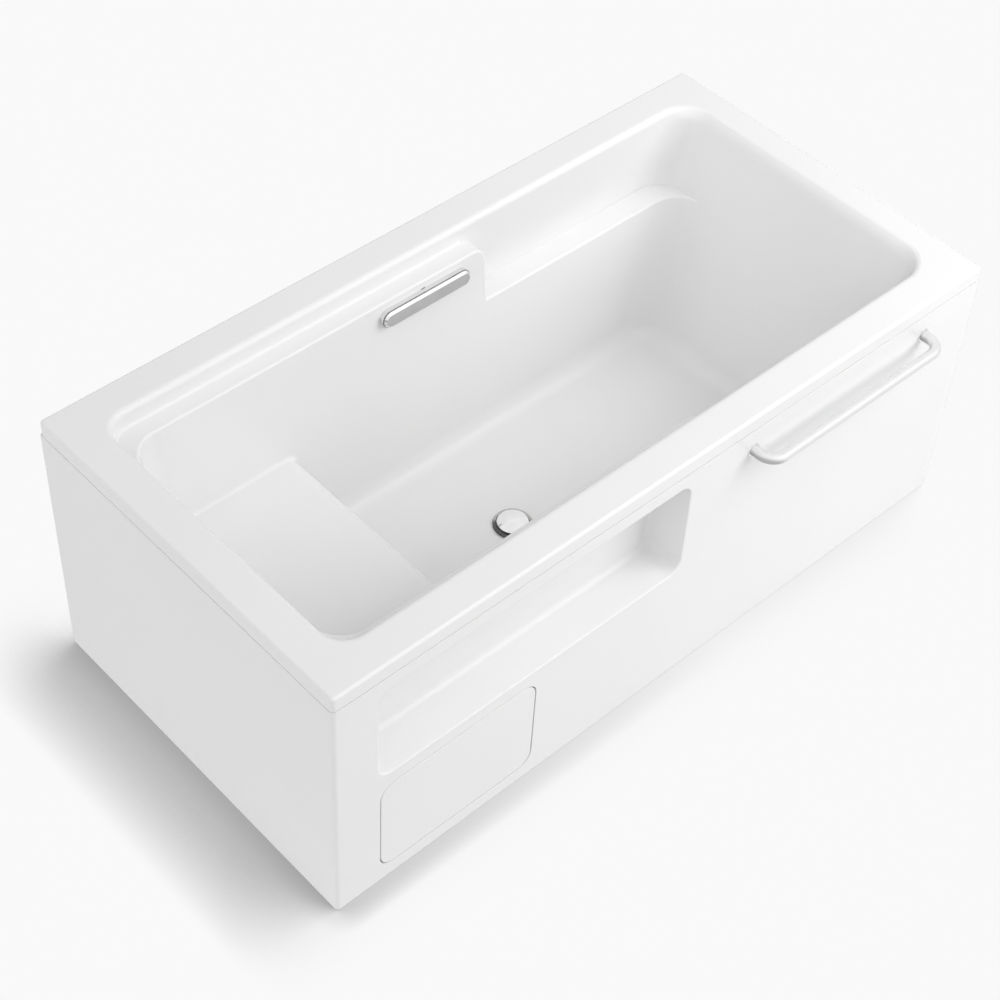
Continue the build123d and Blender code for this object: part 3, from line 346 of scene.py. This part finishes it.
def bar_chrome_painted_reflection():
    """Satin chrome with a grey reflection painted where it turns to the seat's side."""
    painted_grey_side = (-0.86, -0.40, -0.32)
    tones = ((0.40, 1.0), (0.80, 0.55))
    material = chrome("satin_chrome_painted_reflection", chrome_edge, grey(0.85), grey(0.88), satin)
    # The grey is a painted reflection that follows which way the surface faces.
    value = facing(material.node_tree, painted_grey_side, chrome_edge)
    return paint_dark_reflection(material, value, tones)


# Chrome pieces whose dark reflections are painted into their colour.
finishes_with_painted_reflections = {
    "overflow_cover": cover_chrome_painted_reflection(),
    "drain_flange": flange_chrome_painted_reflection(),
    "towel_bar": bar_chrome_painted_reflection(),
}
slot_of = {part["node"]: part["material_slot"] for part in frame["record"]["subparts"]}
for name, node in nodes.items():
    material = finishes_with_painted_reflections.get(name) or finishes[slot_of[name]]
    for index in range(len(node.material_slots)):
        node.material_slots[index].material = material


# Floor, backdrop colour and light

ground_tone = 0.947
shadow_tone = 0.43
shadow_samples = 24
left_reach = 0.19
left_side = (0.78, -0.62, 0.05)
left_open = (0.56, 0.97)
front_shadow = 0.32
front_reach = 0.05
front_side = (0.0, 0.97, 0.24)
front_open = (0.50, 0.97)
front_fade = (-0.75, 0.15)
floor_size = 60.0
floor_drop = 0.0005


def closeness(tree, side, reach):
    """How open the floor is towards a side, within a reach."""
    direction = tree.nodes.new("ShaderNodeCombineXYZ")
    for index, value in enumerate(side):
        direction.inputs[index].default_value = value
    node = tree.nodes.new("ShaderNodeAmbientOcclusion")
    node.samples = shadow_samples
    node.inputs["Distance"].default_value = reach
    tree.links.new(direction.outputs["Vector"], node.inputs["Normal"])
    return node.outputs["AO"]


def times_plus(tree, first, second, more):
    """Product of two outputs plus a number."""
    node = tree.nodes.new("ShaderNodeMath")
    node.operation = "MULTIPLY_ADD"
    tree.links.new(first, node.inputs[0])
    tree.links.new(second, node.inputs[1])
    node.inputs[2].default_value = more
    return node.outputs["Value"]


def shadow_on_floor(tree):
    """Ground tone for the camera, with a wide shadow on the left and a thin one in front."""
    left = spread(tree, closeness(tree, left_side, left_reach), shadow_tone, ground_tone, *left_open)
    front = spread(tree, closeness(tree, front_side, front_reach), -front_shadow, 0.0, *front_open)
    spot = tree.nodes.new("ShaderNodeSeparateXYZ")
    tree.links.new(place(tree), spot.inputs["Vector"])
    fade = spread(tree, spot.outputs["X"], 1.0, 0.0, *front_fade)
    return times_plus(tree, left, times_plus(tree, front, fade, 1.0), 0.0)


def floor_material():
    """Pale floor that keeps the shadow and shows a near-white ground to the camera."""
    cloud_scale = 4.0
    material, tree, shader = new_material("studio_floor")
    cloud = noise(tree, place(tree), cloud_scale, smooth_detail)
    tree.links.new(ramp(tree, cloud, grey(0.66), grey(0.69)), shader.inputs["Base Color"])
    shader.inputs["Roughness"].default_value = 0.8
    shader.inputs["Specular IOR Level"].default_value = 0.1
    ground = tree.nodes.new("ShaderNodeEmission")
    tree.links.new(shadow_on_floor(tree), ground.inputs["Strength"])
    mirrored = tree.nodes.new("ShaderNodeEmission")
    mirrored.inputs["Strength"].default_value = ground_tone
    path = tree.nodes.new("ShaderNodeLightPath")
    lit = choose(
        tree, path.outputs["Is Glossy Ray"], shader.outputs["BSDF"], mirrored.outputs["Emission"]
    )
    seen = choose(tree, path.outputs["Is Camera Ray"], lit, ground.outputs["Emission"])
    tree.links.new(seen, tree.nodes["Material Output"].inputs["Surface"])
    return material


bpy.ops.mesh.primitive_plane_add(size=floor_size, location=(0.0, 0.0, -floor_drop))
floor = bpy.context.object
floor.name = "studio_floor"
floor.data.materials.append(floor_material())

scene = bpy.context.scene
world = bpy.data.worlds.new("studio")
scene.world = world
world.use_nodes = True
sky = world.node_tree
sky_way = sky.nodes.new("ShaderNodeTexCoord").outputs["Generated"]


def maths(operation, first, second):
    """Output of a maths node on two sockets or numbers."""
    node = sky.nodes.new("ShaderNodeMath")
    node.operation = operation
    for socket, value in zip(node.inputs, (first, second)):
        if isinstance(value, (int, float)):
            socket.default_value = value
        else:
            sky.links.new(value, socket)
    return node.outputs["Value"]


def glow(direction, power, strength):
    """Soft glow of the sky round a direction."""
    cosine = vector_maths(sky, "DOT_PRODUCT", sky_way, direction).outputs["Value"]
    return maths("MULTIPLY", maths("POWER", maths("MAXIMUM", cosine, 0.0), power), strength)


def backdrop(strength):
    """White background shader of a strength, which is a number or an output."""
    node = sky.nodes.new("ShaderNodeBackground")
    node.inputs["Color"].default_value = (*grey(1.0), 1.0)
    if isinstance(strength, float):
        node.inputs["Strength"].default_value = strength
    else:
        sky.links.new(strength, node.inputs["Strength"])
    return node.outputs["Background"]


sky_level = 0.317
room_level = 0.98
glow_left = glow(direction=(-0.90, 0.0, 0.43), power=3.0, strength=1.09)
glow_front = glow(direction=(0.0, -0.7071, 0.7071), power=4.0, strength=0.50)
glow_mirrored = glow(direction=(0.37, -0.70, 0.61), power=8.0, strength=0.4)

# Light comes from the soft sky, metal mirrors a white room, and the camera sees the ground tone
light = backdrop(maths("ADD", maths("ADD", sky_level, glow_left), glow_front))
room = backdrop(maths("ADD", room_level, glow_mirrored))
white = backdrop(ground_tone)
path = sky.nodes.new("ShaderNodeLightPath")
mirrored = choose(sky, path.outputs["Is Glossy Ray"], light, room)
seen = choose(sky, path.outputs["Is Camera Ray"], mirrored, white)
sky.links.new(seen, sky.nodes["World Output"].inputs["Surface"])


def softbox(name, position, target, size, power):
    """Square area lamp that faces a point."""
    lamp = bpy.data.lights.new(name, "AREA")
    lamp.shape = "SQUARE"
    lamp.size = size
    lamp.energy = power
    thing = bpy.data.objects.new(name, lamp)
    thing.location = position
    thing.rotation_euler = (Vector(target) - Vector(position)).to_track_quat("-Z", "Y").to_euler()
    thing.visible_glossy = False
    scene.collection.objects.link(thing)


softbox(
    "key_front_right", position=(1.8, -2.5, 2.6), target=(0.5, 0.0, 0.4), size=2.4, power=63.0
)
softbox("key_right", position=(2.5, -1.0, 2.7), target=(0.3, 0.0, 0.4), size=2.2, power=22.0)

# Camera, solved from the photograph's straight edges
lens = 77.08
sensor = 36.0
camera_place = Vector((-1.9232, -1.8419, 3.0611))
forward = Vector((0.47985, 0.48059, -0.73401)).normalized()
right = Vector((0.73852, -0.67291, 0.04221)).normalized()
up = right.cross(forward).normalized()
right = forward.cross(up).normalized()
camera_data = bpy.data.cameras.new("camera")
camera_data.lens = lens
camera_data.sensor_width = sensor
camera = bpy.data.objects.new("camera", camera_data)
camera.matrix_world = Matrix((
    (right.x, up.x, -forward.x, camera_place.x),
    (right.y, up.y, -forward.y, camera_place.y),
    (right.z, up.z, -forward.z, camera_place.z),
    (0.0, 0.0, 0.0, 1.0),
))
scene.collection.objects.link(camera)
scene.camera = camera
scene.view_settings.view_transform = "Standard"
